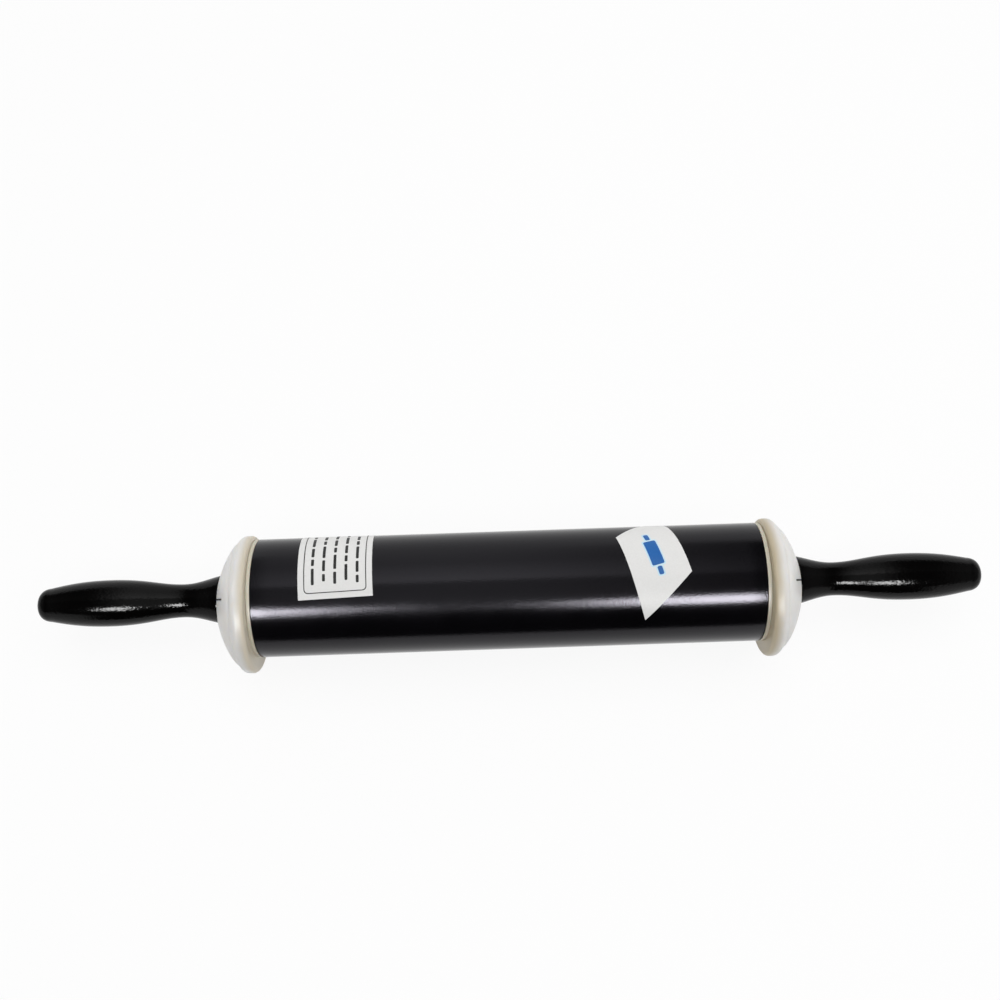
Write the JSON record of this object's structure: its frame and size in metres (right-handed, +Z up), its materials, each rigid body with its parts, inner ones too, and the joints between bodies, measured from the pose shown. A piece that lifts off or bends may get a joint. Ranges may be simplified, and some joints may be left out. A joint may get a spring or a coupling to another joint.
{
  "type": "adjustable rolling pin",
  "caption": "Rolling pin with a coated barrel that spins between eccentric end caps, which turn in clicks to set the dough thickness, on an axle with turned handles.",
  "frame": {"origin": "on the worktop, midway between the two caps", "axes": "+X along the pin to the right handle, +Z up, -Y towards the cook"},
  "size_m": [0.508, 0.073, 0.073],
  "materials": {
    "barrel_coating": "satin black non-stick coating",
    "cap_plastic": "pearly white moulded plastic",
    "nylon": "moulded white nylon",
    "handle_wood": "gloss black lacquer on turned wood",
    "axle_steel": "drawn bright steel",
    "spring_steel": "blued spring steel",
    "bush_bronze": "sintered bronze",
    "insert_brass": "turned brass"
  },
  "bodies": {
    "handles": {"axle_rod": "axle_steel", "left_thrust_washer": "nylon", "right_thrust_washer": "nylon", "left_retaining_ring": "spring_steel", "right_retaining_ring": "spring_steel", "left_index_spring": "spring_steel", "right_index_spring": "spring_steel", "left_lock_nut": "axle_steel", "right_lock_nut": "axle_steel", "left_threaded_insert": "insert_brass", "right_threaded_insert": "insert_brass", "left_handle": "handle_wood", "right_handle": "handle_wood"},
    "barrel": {"barrel_tube": "barrel_coating", "left_end_plug": "nylon", "right_end_plug": "nylon", "left_bearing_bush": "bush_bronze", "right_bearing_bush": "bush_bronze"},
    "left_cap": {"left_thickness_cap": "cap_plastic"},
    "right_cap": {"right_thickness_cap": "cap_plastic"}
  },
  "joints": [
    {"name": "barrel_spin", "type": "hinge", "parent": "handles", "child": "barrel", "pos_m": [0, 0.00317, 0.03651], "axis": [1, 0, 0], "continuous": true},
    {"name": "left_cap_setting", "type": "hinge", "parent": "handles", "child": "left_cap", "pos_m": [-0.1448, 0.00317, 0.03651], "axis": [1, 0, 0], "range_deg": [-90, 90]},
    {"name": "right_cap_setting", "type": "hinge", "parent": "handles", "child": "right_cap", "pos_m": [0.1448, 0.00317, 0.03651], "axis": [1, 0, 0], "range_deg": [-90, 90]}
  ]
}
